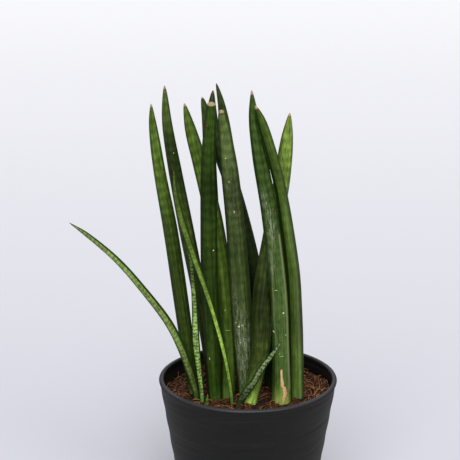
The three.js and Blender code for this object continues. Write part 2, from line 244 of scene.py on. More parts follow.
def leafSkinGroup():
    group, nodes, source, sink = newGroup(
        "leafSkin",
        [(label, "Color") for label in ("Light", "Dark", "Foot", "Tip")]
        + [(label, "Float") for label in skinInputs],
        [("Color", "Color"), ("Roughness", "Float"), ("Height", "Float")],
    )
    spot = nodes.attribute("leafSpot", "Vector")
    leafHeight = nodes.attribute("leafHeight")
    shifted = nodes.vector("ADD", spot, nodes.join(source["Seed"], 0.0, source["Seed"]))
    x, y, z = nodes.split(shifted)

    def layer(name, where=shifted):
        return nodes.layer(where, *skinNoises[name])

    def mask(name, value=None):
        return nodes.ramp(value or layer(name), *skinEdges[name])

    def tinted(name, under):
        return nodes.mix(skinAmounts[name], under, skinTints[name])

    bandsUp = nodes.math("DIVIDE", nodes.times(z, 2 * math.pi), source["Band Pitch"])
    phase = nodes.plus(bandsUp, nodes.times(layer("drift"), skinAmounts["drift"]))
    phase = nodes.plus(phase, nodes.times(layer("ragged"), source["Band Jitter"]))
    wave = nodes.scaled(nodes.math("SINE", phase), 0.5, 0.5)
    cloud = layer("cloud", nodes.join(x, y, nodes.math("DIVIDE", z, source["Band Pitch"])))
    bandNoise = nodes.mix(source["Band Order"], cloud, wave, kind="FLOAT")
    half = nodes.times(source["Band Edge"], 0.5)
    band = nodes.ramp(bandNoise, nodes.math("SUBTRACT", 0.5, half), nodes.plus(0.5, half))
    broken = layer("broken")
    fade = nodes.math("MAXIMUM", mask("upper", leafHeight), source["Foot Bands"])
    bandMask = nodes.times(nodes.times(band, nodes.scaled(broken, *skinTones["broken"])), fade)
    darkness = nodes.times(bandMask, source["Bands"], clamp=True)

    streakNoise = layer("streak")
    fineLine = layer("fineLine")
    green = nodes.mix(darkness, source["Light"], source["Dark"])
    green = nodes.mix(nodes.times(mask("streak", streakNoise), source["Streaks"]), green, source["Dark"])
    green = nodes.mix(nodes.times(mask("fleck"), source["Mottle"]), green, tinted("fleck", source["Light"]))
    green = nodes.mix(nodes.ramp(leafHeight, source["Foot Height"], 0.0), green, source["Foot"])

    tone = nodes.scaled(mask("broad"), *skinTones["broad"])
    tone = nodes.plus(nodes.times(mask("blotch"), source["Blotches"]), tone)
    # leafToneAndShade is each leaf's tone up its length, partly its own colour and partly painted shade.
    tone = nodes.times(tone, nodes.attribute("leafToneAndShade"))
    tone = nodes.times(tone, nodes.scaled(fineLine, *skinTones["fineLine"]))
    green = nodes.mix(1.0, green, tone, "MULTIPLY")
    # Painted shade: the grooves and the channel are darkened towards near black, and deeper spots are
    # darker.
    inGrooveShade = nodes.times(nodes.attribute("leafGrooveShade"), source["Groove Shade"], clamp=True)
    green = nodes.mix(inGrooveShade, green, tinted("grooveShade", source["Dark"]))
    # Painted shade: the leaf's left and right sides, in its own frame, are darkened towards near-black
    # green. This stands in for the light falling off round the leaf.
    side = nodes.math("ABSOLUTE", nodes.split(spot)[0])
    margin = nodes.times(mask("margin", side), source["Margin"])
    green = nodes.mix(margin, green, tinted("margin", source["Dark"]))
    wax = nodes.times(mask("wax"), nodes.plus(mask("waxGrain"), skinAmounts["waxBase"]))
    bloom = nodes.times(wax, nodes.attribute("leafBloom"), clamp=True)
    green = nodes.mix(bloom, green, skinTints["wax"])
    # Partly painted highlight: pale lines along ridges, an edge and the lit side of a leaf.
    green = nodes.mix(nodes.attribute("leafLineAndHighlight"), green, skinTints["lineAndHighlight"])

    uneven = nodes.times(nodes.math("SUBTRACT", broken, 0.5), skinAmounts["tipUneven"])
    reach = nodes.times(source["Tip Length"], nodes.plus(1.0, uneven))
    fromTip = nodes.attribute("leafFromTip")
    browned, dry = (
        nodes.ramp(fromTip, *(nodes.times(reach, edge) for edge in skinEdges[name]))
        for name in ("browned", "dry")
    )
    streaked = nodes.times(fineLine, skinAmounts["dryStreak"])
    dryTone = nodes.mix(streaked, source["Tip"], skinTints["dryStreak"])
    skin = nodes.mix(nodes.times(browned, skinAmounts["browned"]), green, skinTints["browned"])
    skin = nodes.mix(dry, skin, dryTone)

    rough = nodes.scaled(streakNoise, *skinTones["rough"])
    rough = nodes.plus(rough, nodes.times(bloom, skinAmounts["waxRough"]))
    rough = nodes.plus(rough, nodes.times(dry, skinAmounts["dryRough"]), clamp=True)
    height = nodes.times(nodes.plus(streakNoise, fineLine), skinAmounts["lineRelief"])
    height = nodes.plus(height, nodes.times(bandNoise, skinAmounts["bandRelief"]))
    height = nodes.plus(height, nodes.times(nodes.times(dry, broken), skinAmounts["dryRelief"]))
    nodes.fill(sink, {"Color": skin, "Roughness": rough, "Height": height})
    return group


leafSkin = leafSkinGroup()


def leafMaterial(name, look):
    material, nodes, shader = newMaterial(name)
    values = {label: look[key] * unit for label, (key, unit) in skinInputs.items()}
    base = colour(look["base"])
    for key, lean in skinLeans.items():
        values[key.title()] = [v * k * look[key] for v, k in zip(base, lean)]
    for key in ("foot", "tip"):
        values[key.title()] = colour(look[key])
    skin = nodes.add("ShaderNodeGroup", values, node_tree=leafSkin).outputs
    nodes.fill(shader, {
        "Base Color": skin["Color"],
        "Roughness": skin["Roughness"],
        "Normal": nodes.bump(skin["Height"], skinAmounts["bump"], skinAmounts["bumpDepth"]),
        "Specular IOR Level": look["shine"],
    })
    return material


# Meshes from grids of points

def addMesh(name, points, faces, smooth=True):
    mesh = bpy.data.meshes.new(name)
    mesh.from_pydata([tuple(p) for p in points], [], faces)
    mesh.validate()
    mesh.update()
    if smooth:
        mesh.polygons.foreach_set("use_smooth", [True] * len(mesh.polygons))
    return addObject(name, mesh)


def setAttribute(piece, name, values, kind="FLOAT"):
    layer = piece.data.attributes.new(name, kind, "POINT")
    layer.data.foreach_set("vector" if kind == "FLOAT_VECTOR" else "value", np.asarray(values).ravel())


def ringAngles(sides):
    return [2 * math.pi * i / sides for i in range(sides)]


def onCircle(radius, angle):
    return radius * math.cos(angle), radius * math.sin(angle)


def tubeFaces(rings, sides, first=0, apex=None, base=True):
    faces = []
    for row in range(rings - 1):
        low = first + row * sides
        for i in range(sides):
            j = (i + 1) % sides
            faces.append((low + i, low + j, low + sides + j, low + sides + i))
    top = first + (rings - 1) * sides
    if apex is not None:
        faces += [(top + i, top + (i + 1) % sides, apex) for i in range(sides)]
    else:
        faces.append(tuple(top + i for i in range(sides)))
    if base:
        faces.append(tuple(first + i for i in reversed(range(sides))))
    return faces


# Leaves. Each is a row of stations (x, y, z, width) in mm from the soil up to its tip, and the
# nose is the length over which the tip rounds off, so a short one is a blunt, dried tip, and
# fuller with a smaller blunt value. A channel is an open groove on one side: how deep, towards
# which turn, how wide in degrees and how dark the painted shade in it is.

# A skin's margin sets the painted shade on the leaf's left and right sides, and grooveShading sets the
# painted shade in its grooves.
greenSkin = {
    "light": 1.5, "dark": 0.6, "foot": "5f7a38", "footHeight": 20, "tip": "b39a72", "tipLength": 3,
    "bandPitch": 9, "bands": 0.6, "footBands": 0.35, "bandEdge": 0.6, "bandJitter": 2, "bandOrder": 0.65,
    "mottle": 0.1, "streaks": 0.65, "grooveShading": 0.8, "blotches": 0.4, "margin": 0.6, "shine": 0.1,
}
darkSkin = {**greenSkin, "foot": "34501f"}
youngSkin = {
    **greenSkin, "dark": 0.35, "foot": "4f7a33", "footHeight": 14,
    "tip": "8a6d4a", "tipLength": 2.5, "bandPitch": 2.6, "bands": 0.9, "footBands": 1, "bandEdge": 0.14,
    "bandJitter": 9, "bandOrder": 0, "mottle": 0.2, "streaks": 0.2, "margin": 0.8,
}

# Each leaf's skin adds a base colour and a seed. Beside it a leaf may have tones (z, how light),
# blooms (z, turn, z reach, turn reach, strength) of pale wax, and linesAndHighlights (z from,
# turn there, z to, turn there, width, strength). The tones are partly the leaf's own colour and
# partly painted shade, darker low between the leaves and where a neighbour shades the leaf. The
# lines are pale, partly a pale edge line and partly painted highlight along ridges and the lit side.

adultLeaves = {
    "leaf_left_outer": {
        "nose": 50,
        "tones": [(134, 0.9), (194, 0.9), (233, 0.72), (267, 0.95), (310, 1.1), (345, 2.1), (398, 2.1)],
        "skin": {**greenSkin, "base": "36481b", "seed": 1.3},
        "stations": [
            (-51, -2, 134, 11), (-55, -7, 165, 12.5), (-63, -9, 230, 14), (-72, -10, 298, 13.5),
            (-81.5, -12, 356, 11), (-87, -14, 401, 9), (-88, -15, 418, 7),
        ],
    },
    "leaf_left_inner": {
        "nose": 45,
        "tones": [
            (134, 0.3), (250, 0.5), (290, 1), (307, 1), (351, 0.55), (380, 0.55), (400, 1.4), (429, 1.6),
        ],
        "skin": {**darkSkin, "base": "405228", "tip": "b59a86", "seed": 2.1},
        "stations": [
            (-33.5, 8, 134, 10.5), (-39, 8, 181, 11.5), (-47, 8, 234, 13.5), (-57.3, 9, 290, 14),
            (-68, 10, 350, 12.5), (-75, 12, 395, 9.5), (-77, 14, 429, 7.5),
        ],
    },
    "leaf_left_pale": {
        "nose": 40,
        "tones": [(134, 0.8), (224, 1.0), (254, 1.15), (300, 1.45), (340, 1.65), (398, 1.1)],
        "skin": {**greenSkin, "base": "435a22", "seed": 3.7},
        "stations": [
            (-19, -14, 134, 13), (-19, -5, 178, 15.5), (-22, -2, 237, 16), (-32, 1, 305, 16),
            (-44.5, 4, 357, 13.5), (-54, 8, 392, 11), (-59, 12, 413, 8),
        ],
    },
    "leaf_back_left": {
        "nose": 10,
        "skin": {**darkSkin, "base": "35451f", "tip": "c7ae8a", "tipLength": 1.5, "seed": 4.2},
        "stations": [
            (-24, 24, 134, 11.5), (-28, 24, 192, 13), (-32, 23, 261, 14), (-35, 22, 328, 13),
            (-37, 24, 375, 11), (-41, 27, 407, 6), (-43, 29, 415.5, 4.5),
        ],
    },
    "leaf_front_left": {
        "nose": 4,
        "blunt": 0.3,
        "tones": [(134, 1.1), (160, 1), (260, 1), (310, 1.15), (350, 0.65), (391, 1.6), (420, 1.6)],
        "skin": {**darkSkin, "base": "293d12", "tip": "b3a27c", "tipLength": 2.0, "seed": 5.9},
        "stations": [
            (-31, -19, 134, 12), (-33, -20, 184, 15), (-36, -23, 250, 15.5), (-36.5, -28, 332, 15),
            (-36.5, -32, 379, 12), (-34.5, -36, 408, 10), (-33.5, -39, 424, 8.5),
        ],
    },
    "leaf_back_centre": {
        "nose": 25,
        "tones": [(134, 0.4), (230, 0.7), (290, 1), (419, 1.2)],
        "skin": {**darkSkin, "base": "24331a", "tip": "6b4a34", "seed": 6.4},
        "stations": [
            (23, 14, 134, 13), (19.6, 19, 175, 15.8), (9.6, 21.5, 222, 16), (3.5, 23, 259, 15),
            (-8, 27, 305, 15), (-17, 31, 336, 14), (-25, 34, 357, 12.5), (-32, 38, 383, 10.5),
            (-34, 41, 403, 8.5), (-33, 43, 419, 6.5),
        ],
    },
    "leaf_front_centre": {
        "nose": 3,
        "blunt": 0.3,
        "blooms": [(182, -98, 44, 52, 1.15), (225, -128, 26, 26, 0.6), (350, -100, 60, 60, 0.25)],
        "tones": [
            (134, 0.75), (145, 0.8), (180, 1), (224, 0.72), (270, 0.82), (345, 0.72), (375, 1.45),
            (416, 1.8),
        ],
        "skin": {
            **greenSkin, "base": "42522c", "footBands": 0.6, "tip": "b3a27c", "tipLength": 2.4, "seed": 7.5,
        },
        "stations": [
            (-3, -12, 134, 11.5), (-4.5, -14, 192, 18.6), (-7.5, -16, 240, 19.2), (-12.6, -18, 310, 17.4),
            (-17.5, -22, 358, 16), (-21.5, -25, 391, 11.5), (-24, -26, 406, 8), (-25, -27, 414.8, 4.6),
        ],
    },
    "leaf_back_tall": {
        "nose": 45,
        "tones": [(134, 0.3), (300, 0.5), (380, 0.6), (423, 0.6)],
        "skin": {**darkSkin, "base": "40522a", "tip": "5a4433", "tipLength": 1.5, "seed": 8.8},
        "stations": [
            (-4, 33, 134, 12), (-6, 37, 183, 14.5), (-10, 44, 253, 15.5), (-14, 49, 311, 15.5),
            (-20, 52, 364, 13), (-25, 55, 402, 8.5), (-30, 57, 423, 6.5),
        ],
    },
    "leaf_right_scarred": {
        "nose": 40,
        "blooms": [
            (335, -112, 9, 24, 1.7), (310, -95, 18, 30, 1.6), (275, -120, 14, 30, 0.7),
            (230, -80, 60, 60, 0.18),
        ],
        "tones": [(134, 1), (200, 1), (260, 0.88), (310, 0.8), (360, 0.75), (434, 0.8)],
        "linesAndHighlights": [
            (300, -95, 250, -132, 7, 0.35), (250, -132, 218, -142, 8, 0.5), (218, -142, 190, -115, 7, 0.3),
            (300, -36, 247, -33, 11, 0.9), (247, -33, 148, -31, 12, 0.9),
        ],
        "skin": {
            **greenSkin, "base": "415a2a", "foot": "8a9c4a", "footHeight": 26, "tip": "b9a088",
            "tipLength": 4, "seed": 9.1,
        },
        "stations": [
            (31.3, -26, 134, 18.5), (30.2, -27, 192, 16), (28.8, -28, 228, 15.8), (26, -29, 261, 16),
            (18, -30, 325, 15), (10, -31, 370, 13.5), (4, -32, 411, 10), (2, -33, 434, 6),
        ],
    },
    "leaf_right_outer": {
        "nose": 30,
        "channel": {"depth": 0.12, "turn": -143, "width": 24, "shade": 1.6},
        "tones": [
            (134, 0.85), (150, 1.05), (180, 0.85), (210, 0.52), (265, 0.82), (325, 1.05), (360, 0.8),
            (385, 0.85), (412, 0.8),
        ],
        "linesAndHighlights": [(134, -58, 235, -66, 16, 0.22), (235, -66, 330, -75, 14, 0.16)],
        "skin": {
            **greenSkin, "base": "465e28", "bands": 0.35, "grooveShading": 1.0, "tip": "c9ab78", "seed": 10.6,
        },
        "stations": [
            (45.4, -13, 134, 15), (44.1, -15, 190, 15.5), (42.8, -19, 225, 14.6), (40.6, -23, 261, 13.7),
            (32.8, -24.5, 317, 12), (27.8, -28, 345, 10.7), (21.5, -35.5, 371, 10.4),
            (10.2, -40.5, 409, 9.1), (5.2, -42.5, 422, 7.1),
        ],
    },
    "leaf_right_pale": {
        "nose": 40,
        "tones": [
            (134, 1.4), (150, 1.0), (175, 0.5), (205, 0.2), (240, 0.12), (290, 0.6), (345, 1.4), (385, 1.4),
        ],
        "skin": {
            **greenSkin, "base": "566a30", "foot": "88a548", "footHeight": 34, "footBands": 0.7,
            "blotches": 0.8, "tip": "c9b08a", "seed": 11.2,
        },
        "stations": [
            (1.5, -30, 134, 13.5), (6.8, -30, 160, 14.6), (11.2, -29, 186, 17), (13.6, -17, 236, 19.6),
            (22, 1, 290, 17), (31, 9, 341, 15.5), (36, 15, 383, 12), (38, 17, 403, 8),
        ],
    },
}

youngLeaves = {
    "young_leaf_climbing": {
        "nose": 30,
        "channel": {"depth": 0.4, "turn": -60, "width": 55},
        "tones": [(134, 0.8), (180, 1.4), (205, 2.2), (240, 1.4), (290, 0.7), (330, 0.5), (364, 0.5)],
        "skin": {**youngSkin, "base": "66823a", "bands": 0.6, "margin": 1.4, "seed": 12.3},
        "stations": [
            (-15, -30, 134, 4), (-21, -33, 179, 4.5), (-36, -39, 240, 5), (-49.5, -42, 282, 6),
            (-61, -44, 320, 6.5), (-66, -46, 346, 4.5), (-67, -47, 364, 2.5),
        ],
    },
    "young_leaf_short": {
        "nose": 20,
        "channel": {"depth": 0.45, "turn": -80, "width": 50},
        "tones": [(134, 0.95), (190, 1.6), (230, 1.2), (260, 0.7), (297, 0.7)],
        "skin": {
            **youngSkin, "base": "5f7845", "light": 2.0, "bands": 1.0, "bandPitch": 3.4, "bandOrder": 0.2,
            "bandEdge": 0.22, "blotches": 0.6, "margin": 1.2, "seed": 13.4,
        },
        "stations": [
            (-43, -27, 134, 4.5), (-46, -27, 167, 5.5), (-48.5, -29, 193, 7), (-50, -31, 237, 5),
            (-52, -32, 267, 4), (-54, -33, 286, 3.5), (-55, -33, 297, 2.5),
        ],
    },
    "young_leaf_arching": {
        "nose": 20,
        "channel": {"depth": 0.4, "turn": -45, "width": 55},
        "tones": [(134, 0.5), (165, 0.6), (190, 0.9), (215, 1.1), (250, 1.0), (285, 1.25), (317, 0.7)],
        "skin": {
            **youngSkin, "base": "647a44", "light": 1.7, "bands": 0.7, "bandPitch": 4.6, "bandOrder": 0.2,
            "bandEdge": 0.25, "blotches": 0.5, "margin": 1.8, "tip": "4a4038", "tipLength": 4, "seed": 14.5,
        },
        "stations": [
            (-48, -18, 134, 6.5), (-54.5, -22, 164, 8), (-71, -28, 209, 8), (-97, -36, 250, 7),
            (-120, -42, 280, 6), (-145, -46, 304, 4.5), (-161, -50, 317, 2),
        ],
    },
    "young_leaf_leaning": {
        "nose": 14,
        "channel": {"depth": 0.45, "turn": -70, "width": 55},
        "tones": [(134, 0.36), (155, 0.38), (180, 0.8), (207, 0.55)],
        "skin": {
            **youngSkin, "base": "54664a", "light": 4.0, "dark": 0.3, "bands": 1.0, "bandPitch": 4,
            "bandOrder": 0.2, "bandEdge": 0.25, "blotches": 0.7, "margin": 1, "seed": 15.6,
        },
        "stations": [
            (-9, -36, 134, 6.5), (-2, -43, 151, 7.5), (5, -45, 162, 7), (13, -48, 178, 6), (21, -50, 190, 5),
            (28, -53, 202, 3), (31, -54, 207, 2.5),
        ],
    },
}

shoots = {
    "shoot": {
        "nose": 8,
        "skin": {**youngSkin, "base": "5a8c2c", "foot": "5a8c2c", "seed": 16.7},
        "stations": [(-38.5, -31, 134, 3.6), (-38.5, -32, 139, 3), (-38, -33, 145, 1.6)],
    },
}

# The foot is the length in the soil. Ridges run up the leaf with narrow grooves between them.
# shade is the painted shade laid into the grooves between the ridges.
adultForm = {
    "sides": 96, "rings": 120, "flat": 1.0, "blunt": 0.55, "foot": 26, "footWidth": 0.9,
    "ridges": 8, "ridge": 0.045, "soft": 0.35, "narrow": 5, "shade": 0.3, "sway": (0.14, 0.1),
}
youngForm = {**adultForm, "sides": 48, "rings": 90, "flat": 0.8, "ridges": 0}
shootForm = {**youngForm, "sides": 16, "rings": 24, "foot": 12}
stepsPerSpan = 60  # points on a leaf's curve between two stations


def between(a, b, start, end, t):  # on the line that is at a for start and at b for end
    return (end - t) / (end - start) * a + (t - start) / (end - start) * b


def splinePoints(points, steps):  # centripetal curve through the points, steps samples a span
    points = np.asarray(points, float)
    ends = np.vstack([2 * points[0] - points[1], points, 2 * points[-1] - points[-2]])
    made = []
    for a, b, c, d in zip(ends, ends[1:], ends[2:], ends[3:]):
        t1 = np.linalg.norm(b - a) ** 0.5
        t2 = t1 + np.linalg.norm(c - b) ** 0.5
        t3 = t2 + np.linalg.norm(d - c) ** 0.5
        for t in np.linspace(t1, t2, steps, endpoint=False):
            middle = between(b, c, t1, t2, t)
            left = between(between(a, b, 0, t1, t), middle, 0, t2, t)
            right = between(middle, between(c, d, t2, t3, t), t1, t3, t)
            made.append(between(left, right, t1, t2, t))
    made.append(points[-1])
    return np.array(made)


class LeafShape:  # where a leaf's surface is, at a length along it and a turn round it
    def __init__(self, leaf, form):
        x, y, z, width = leaf["stations"][0]
        stations = [(x, y, z - form["foot"], width * form["footWidth"]), *leaf["stations"]]
        self.leaf = leaf
        self.form = form
        self.spine = splinePoints([s[:3] for s in stations], stepsPerSpan) * mm
        widths = splinePoints([(s[3], 0, i) for i, s in enumerate(stations)], stepsPerSpan)
        self.widths = widths[:, 0] * mm
        steps = np.linalg.norm(np.diff(self.spine, axis=0), axis=1)
        self.lengths = np.concatenate([[0], np.cumsum(steps)])
        self.length = self.lengths[-1]
        self.tangents = np.gradient(self.spine, self.lengths, axis=0)

    def atHeight(self, z):  # the length along the leaf at a height in mm
        return np.interp(np.asarray(z) * mm, self.spine[:, 2], self.lengths)

    def pick(self, values, along):
        return np.column_stack([np.interp(along, self.lengths, v) for v in values.T])

    # The second value is the painted shade of the grooves and the channel at each spot.
    def section(self, turns, along):  # the factor on the radius, and how deep in a groove it is
        form = self.form
        factor = np.ones_like(turns)
        grooveShade = np.zeros_like(turns)
        if form["ridges"]:
            seed = self.leaf["skin"]["seed"]
            wide, fine = form["sway"]
            sway = wide * np.sin(2 * turns + seed) + fine * np.sin(3 * turns + 2 * seed + 6 * along)
            wave = 0.5 - 0.5 * np.cos(form["ridges"] * (turns + sway))
            deep = wave ** form["narrow"]
            grooveShade = form["shade"] * deep
            factor -= form["ridge"] * (form["soft"] * wave + (1 - form["soft"]) * deep)
        channel = self.leaf.get("channel")
        if channel:
            dip = np.exp(-(turnAway(turns, channel["turn"]) / channel["width"]) ** 2)
            factor -= channel["depth"] * dip
            grooveShade = np.maximum(grooveShade, channel.get("shade", 0) * dip ** 2)
        return factor, grooveShade

    def surface(self, along, turns, lift=0.0):  # points, one for each length and turn
        along, turns = np.broadcast_arrays(np.asarray(along, float), np.asarray(turns, float))
        tangent = self.pick(self.tangents, along)
        tangent /= np.linalg.norm(tangent, axis=1)[:, None]
        right = np.cross(tangent, (0, -1, 0))
        right /= np.linalg.norm(right, axis=1)[:, None]
        behind = np.cross(tangent, right)
        toTip = np.clip((self.length - along) / (self.leaf["nose"] * mm), 0, 1)
        rounded = (1 - (1 - toTip) ** 2) ** self.leaf.get("blunt", self.form["blunt"])
        radius = np.interp(along, self.lengths, self.widths) / 2 * rounded
        factor, _ = self.section(turns, along)
        reach = (radius * factor + np.asarray(lift))[:, None]
        out = np.cos(turns)[:, None] * right + self.form["flat"] * np.sin(turns)[:, None] * behind
        return self.pick(self.spine, along) + out * reach


def turnAway(turns, target):  # degrees between turns in radians and a target in degrees
    away = turns - np.radians(target)
    return np.degrees(np.arctan2(np.sin(away), np.cos(away)))


def paintBlooms(leaf, heights, turns):
    amount = np.zeros_like(turns)
    for z, turn, zReach, turnReach, strength in leaf.get("blooms", []):
        away = ((heights - z) / zReach) ** 2 + (turnAway(turns, turn) / turnReach) ** 2
        amount = np.maximum(amount, strength * np.exp(-away ** 1.5))
    return amount


# Pale lines, partly a pale edge line and partly painted highlight along ridges and the lit side.
def paintLinesAndHighlights(leaf, heights, turns):
    amount = np.zeros_like(turns)
    for zFrom, turnFrom, zTo, turnTo, width, strength in leaf.get("linesAndHighlights", []):
        share = (heights - zFrom) / (zTo - zFrom)
        target = turnFrom + np.clip(share, 0, 1) * (turnTo - turnFrom)
        inside = (share >= 0) & (share <= 1)
        away = turnAway(turns, target) / width
        amount = np.maximum(amount, strength * inside * np.exp(-away ** 2))
    return amount


def makeLeaf(name, leaf, form):
    shape = LeafShape(leaf, form)
    sides, rings = form["sides"], form["rings"]
    nose = leaf["nose"] * mm
    noseRings = rings // 4
    lengths = np.concatenate([
        np.linspace(0, shape.length - nose, rings - noseRings, endpoint=False),
        shape.length - nose * (1 - np.arange(noseRings) / noseRings) ** 2,
    ])
    along = np.append(np.repeat(lengths, sides), shape.length)
    turns = np.append(np.tile(ringAngles(sides), rings), 0)
    points = shape.surface(along, turns)
    piece = addMesh(name + "_skin", points, tubeFaces(rings, sides, apex=rings * sides))
    heights = np.interp(along, shape.lengths, shape.spine[:, 2]) / mm
    tones = np.array(leaf.get("tones", [(0, 1)]))
    setAttribute(piece, "leafSpot", np.column_stack([np.cos(turns), np.sin(turns), along]), "FLOAT_VECTOR")
    setAttribute(piece, "leafGrooveShade", shape.section(turns, along)[1])
    setAttribute(piece, "leafFromTip", shape.length - along)
    setAttribute(piece, "leafHeight", along - form["foot"] * mm)
    setAttribute(piece, "leafToneAndShade", np.interp(heights, tones[:, 0], tones[:, 1]))
    setAttribute(piece, "leafBloom", paintBlooms(leaf, heights, turns))
    setAttribute(piece, "leafLineAndHighlight", paintLinesAndHighlights(leaf, heights, turns))
    piece.data.materials.append(leafMaterial(name, leaf["skin"]))
    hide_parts(name)
    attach(piece, "root")
    return shape


shapes = {}
for leaves, form in ((adultLeaves, adultForm), (youngLeaves, youngForm), (shoots, shootForm)):
    for name, leaf in leaves.items():
        shapes[name] = makeLeaf(name, leaf, form)
print("leaves made:", len(shapes))


# Marks on the leaves: a dried scar, corky specks and thin scratches

cork = {"grain": (1, 0.25, 1800, 4, 0.6), "bump": 0.5, "bumpDepth": 0.0004, "rough": 0.75}

scar = {
    "leaf": "leaf_right_scarred", "light": "eccb93", "dark": "94561f", "rows": 90, "columns": 14,
    "lift": 0.3, "sunk": 0.06, "ragged": 9, "edgeRate": 1.3, "rippleRate": 1.5,
    "tone": 0.1, "rightTone": 0.7, "edgeTone": 0.55,
    "edges": [  # z, turn of its left edge, turn of its right edge
        (171, -93, -86), (168, -99, -82), (163, -96, -82), (160, -97, -77), (156.5, -97, -70),
        (154, -96, -72), (152, -86, -60), (149, -86, -55), (146, -83, -50), (143.5, -85, -54),
        (141, -87, -66), (138, -86, -70), (135.5, -84, -76),
    ],
}

speckForm = {
    "sides": 12, "rings": 3, "lift": 0.22, "sunk": 0.05, "uneven": 0.35, "light": "efe0b0", "dark": "7a3b22",
}
specks = {  # on each leaf: z, turn, width and height in mm, how dark
    "leaf_right_scarred": [
        (226, -66, 1.9, 1.9, 0.1), (207, -146, 3.4, 2.0, 0.0), (204, -53, 1.6, 1.5, 0.45),
        (325, -60, 1.4, 1.4, 0.9), (248.7, -106, 3.2, 0.6, 0.1), (183.5, -86, 5.5, 0.6, 0.3),
        (186, -102, 2.5, 0.5, 0.4),
    ],
    "leaf_left_pale": [(220, -98, 1.5, 1.5, 0.5), (200, -87, 6.0, 0.5, 0.35)],
    "leaf_front_left": [
        (178, -119, 1.1, 3.2, 0.3), (285.4, -55, 1.6, 1.5, 0.1), (403.5, -125, 2.2, 1.6, 1.0),
    ],
    "leaf_front_centre": [
        (209, -112, 2.2, 1.9, 0.0), (210.5, -93, 1.4, 1.3, 0.1), (213, -128, 1.6, 1.4, 0.5),
        (193, -108, 1.2, 1.2, 0.3), (350, -101, 1.3, 1.9, 0.4), (372, -107, 1.6, 1.3, 0.3),
        (321, -88, 1.1, 2.8, 0.3),
    ],
    "leaf_left_inner": [(367, -68, 1.0, 1.1, 0.2)],
}


def corkMaterial(name, look):
    material, nodes, shader = newMaterial(name)
    grain = nodes.layer(nodes.place(), *cork["grain"])
    tone = nodes.plus(nodes.attribute("markTone"), nodes.times(grain, 0.5))
    darkness = nodes.math("SUBTRACT", tone, 0.25, clamp=True)
    nodes.fill(shader, {
        "Base Color": nodes.mix(darkness, colour(look["light"]), colour(look["dark"])),
        "Normal": nodes.bump(grain, cork["bump"], cork["bumpDepth"]),
        "Roughness": cork["rough"],
    })
    return material


def makeScar():
    rows, columns = scar["rows"], scar["columns"]
    shape = shapes[scar["leaf"]]
    edges = np.array(scar["edges"][::-1], float)
    zs = np.linspace(edges[0, 0], edges[-1, 0], rows)
    along, turns, lifts, tones = [], [], [], []
    for row, z in enumerate(zs):
        left, right = (
            np.interp(z, edges[:, 0], edges[:, side])
            + scar["ragged"] * noise.noise(Vector((z * scar["edgeRate"], apart, 0)))
            for side, apart in ((1, 0), (2, 5))
        )
        for column in range(columns):
            across = column / (columns - 1)
            inside = min(1, 4 * min(across, 1 - across)) * min(1, row / 3, (rows - 1 - row) / 3)
            ripple = 0.5 + 0.5 * noise.noise(Vector((z * scar["rippleRate"], across * 3, 2)))
            rise = scar["lift"] * inside * (0.5 + 0.5 * ripple)
            along.append(shape.atHeight(z))
            turns.append(math.radians(left + across * (right - left)))
            lifts.append((rise - scar["sunk"]) * mm)
            darker = scar["rightTone"] * across * (1 - row / rows)  # to the right and lower down
            tones.append(darker + scar["tone"] + scar["edgeTone"] * (1 - inside))
    points = shape.surface(along, turns, lifts)
    faces = []
    for row in range(rows - 1):
        for column in range(columns - 1):
            low = row * columns + column
            faces.append((low, low + 1, low + columns + 1, low + columns))
    piece = addMesh("leaf_scar", points, faces)
    setAttribute(piece, "markTone", tones)
    piece.data.materials.append(corkMaterial("scarCork", scar))
    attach(piece, "root")


def makeSpecks():
    points, faces, tones = [], [], []
    sides, rings = speckForm["sides"], speckForm["rings"]
    marks = [(shapes[name], *mark) for name, rows in specks.items() for mark in rows]
    for shape, z, turn, width, height, tone in marks:
        middle = shape.atHeight(z)
        radius = np.interp(middle, shape.lengths, shape.widths) / 2
        first = sum(len(p) for p in points)
        along, turns, lifts = [middle], [math.radians(turn)], [speckForm["lift"] * mm]
        for ring in range(1, rings + 1):
            share = ring / rings
            for angle in ringAngles(sides):
                wobble = noise.noise(Vector((math.cos(angle), math.sin(angle), z)))
                grow = share * (1 + speckForm["uneven"] * wobble)
                along.append(middle + math.sin(angle) * height / 2 * mm * grow)
                turns.append(math.radians(turn) + math.cos(angle) * width / 2 * mm * grow / radius)
                lifts.append((speckForm["lift"] * (1 - share ** 2) - speckForm["sunk"] * share) * mm)
        points.append(shape.surface(along, turns, lifts))
        tones += [tone] * (1 + rings * sides)
        faces += [(first, first + 1 + i, first + 1 + (i + 1) % sides) for i in range(sides)]
        for ring in range(rings - 1):
            low = first + 1 + ring * sides
            for i in range(sides):
                j = (i + 1) % sides
                faces.append((low + i, low + sides + i, low + sides + j, low + j))
    piece = addMesh("leaf_specks", np.vstack(points), faces)
    setAttribute(piece, "markTone", tones)
    piece.data.materials.append(corkMaterial("speckCork", speckForm))
    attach(piece, "root")


makeScar()
makeSpecks()
print("leaf marks made")


# Pot

